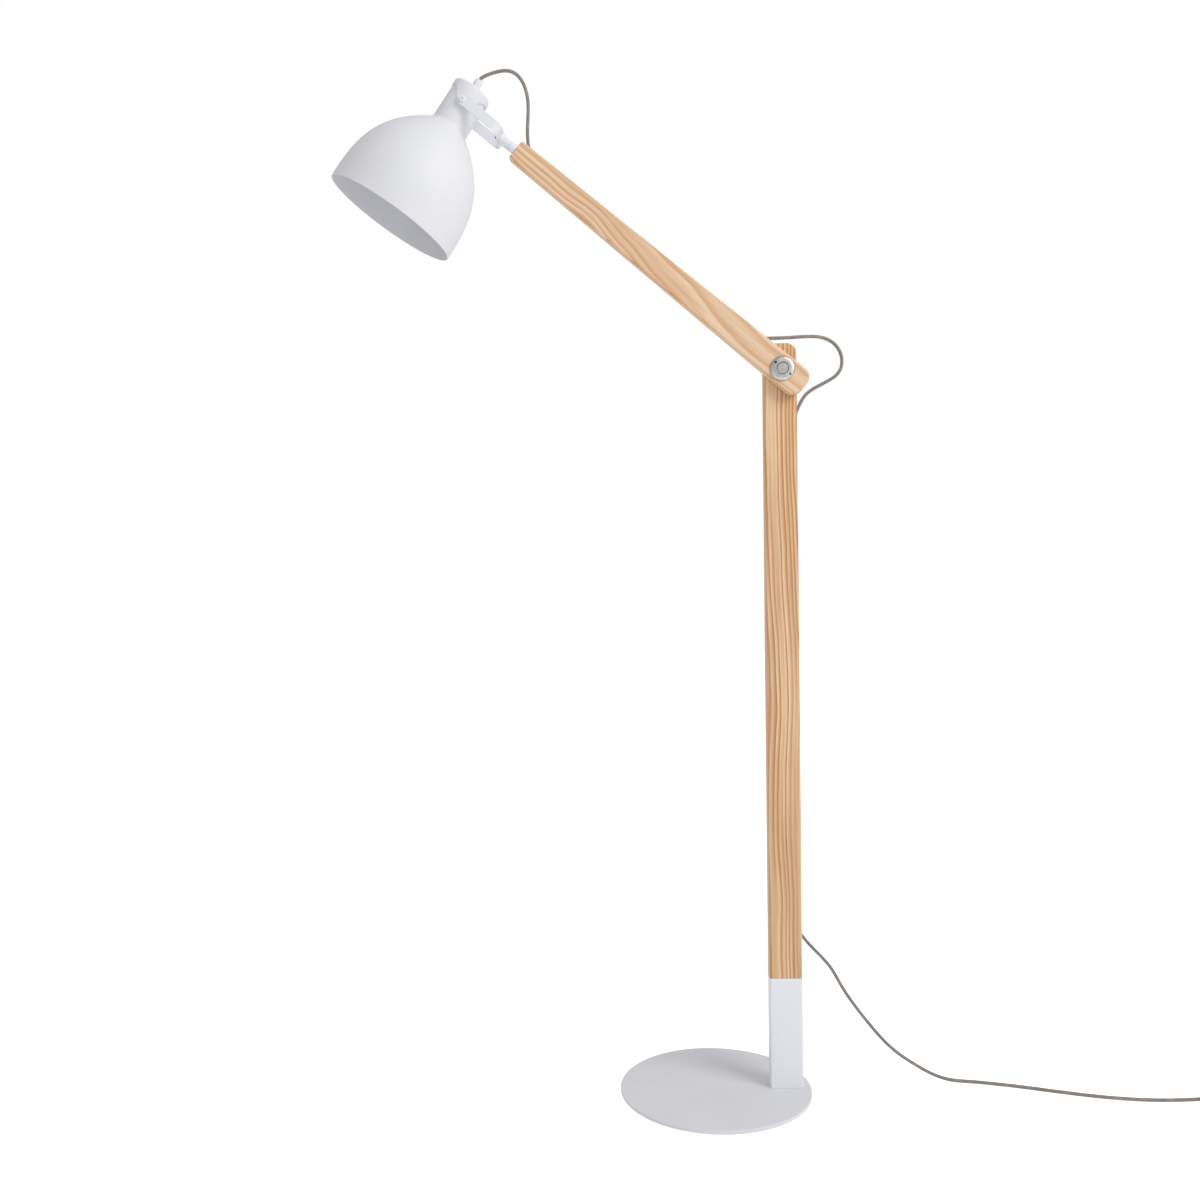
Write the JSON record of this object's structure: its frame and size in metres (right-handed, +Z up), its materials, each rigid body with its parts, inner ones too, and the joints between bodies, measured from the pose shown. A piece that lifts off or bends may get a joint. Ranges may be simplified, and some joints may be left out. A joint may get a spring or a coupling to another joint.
{
  "type": "adjustable arm floor lamp",
  "caption": "Floor lamp with a round base, wooden post and hinged wooden arm, and a bell shade on a yoke that swivels and tilts.",
  "frame": {"origin": "middle of the underside of the round base, on the floor", "axes": "+Z up; the arm reaches towards -X and the post stands on the +X side of the base; +Y is the back of the post, where the cable runs"},
  "size_m": [1.3065, 0.359, 1.5011],
  "materials": {
    "base_paint": "fine powder coat",
    "sleeve_paint": "fine powder coat",
    "yoke_paint": "fine powder coat",
    "shade_paint": "fine powder coat on spun aluminium",
    "screw_paint": "lacquered",
    "pad_rubber": "felted rubber",
    "zinc_screw": "zinc plated",
    "black_steel": "blackened",
    "post_pine": "oiled pine",
    "arm_pine": "oiled pine",
    "fibre": "vulcanised fibre",
    "black_plastic": "fine texture",
    "satin_nickel": "satin nickel",
    "bush_nickel": "satin",
    "nylon": "natural nylon",
    "white_plastic": "satin",
    "rocker_plastic": "satin",
    "brass": "turned",
    "holder_plastic": "moulded",
    "bulb_metal": "bright",
    "opal_glass": "opal",
    "cable_cloth": "braided textile",
    "clip_metal": "nickel plated",
    "pin_nickel": "nickel plated"
  },
  "bodies": {
    "base": {"base_pad": "pad_rubber", "base_plate": "base_paint", "base_screws": "zinc_screw", "sleeve": "sleeve_paint", "sleeve_screws": "zinc_screw", "post": "post_pine", "friction_washer": "fibre", "rear_washer": "zinc_screw", "post_cable": "cable_cloth", "post_clips": "clip_metal", "post_clip_screws": "zinc_screw", "lead_run": "cable_cloth", "lead_coil": "cable_cloth", "coil_tie": "black_plastic", "lead_link": "cable_cloth", "switch_base": "white_plastic", "switch_cover": "white_plastic", "lead_tail": "cable_cloth", "plug_relief": "white_plastic", "plug_body": "white_plastic", "plug_pins": "pin_nickel"},
    "knob": {"clamp_knob": "black_plastic"},
    "arm": {"arm": "arm_pine", "face_disc": "satin_nickel", "elbow_bolt": "satin_nickel", "swivel_bush": "bush_nickel", "swivel_bolt": "black_steel", "arm_cable": "cable_cloth", "arm_clips": "clip_metal", "arm_clip_screws": "zinc_screw", "elbow_loop": "cable_cloth", "head_loop": "cable_cloth"},
    "yoke": {"yoke": "yoke_paint", "swivel_stem": "yoke_paint", "spring_washer": "zinc_screw"},
    "head": {"tilt_screws": "screw_paint", "tilt_washers": "nylon", "tilt_nuts": "zinc_screw", "socket_cap": "shade_paint", "cord_grip": "white_plastic", "nipple": "brass", "lock_nut": "zinc_screw", "holder_top": "holder_plastic", "holder_body": "holder_plastic", "screw_shell": "brass", "bulb_cap": "bulb_metal", "bulb_glass": "opal_glass", "shade": "shade_paint"},
    "rocker": {"switch_rocker": "rocker_plastic"}
  },
  "joints": [
    {"name": "elbow", "type": "hinge", "parent": "base", "child": "arm", "pos_m": [0.104, -0.02005, 1.0582], "axis": [0, 1, 0], "range_deg": [-80, 30], "deforming": ["elbow_loop"]},
    {"name": "head_swivel", "type": "hinge", "parent": "arm", "child": "yoke", "pos_m": [-0.35371, -0.02005, 1.44227], "axis": [-0.766, 0, 0.6428], "range_deg": [-170, 170], "deforming": ["head_loop"]},
    {"name": "head_tilt", "type": "hinge", "parent": "yoke", "child": "head", "pos_m": [-0.35371, -0.02005, 1.44227], "axis": [0, 1, 0], "range_deg": [-20, 45], "deforming": ["head_loop"]},
    {"name": "knob_turn", "type": "hinge", "parent": "base", "child": "knob", "pos_m": [0.104, 0.02, 1.0582], "axis": [0, 1, 0], "range_deg": [-180, 180]},
    {"name": "rocker_tip", "type": "hinge", "parent": "base", "child": "rocker", "pos_m": [0.7465, -0.143, 0.0132], "axis": [1, 0, 0], "range_deg": [-16, 0]}
  ]
}
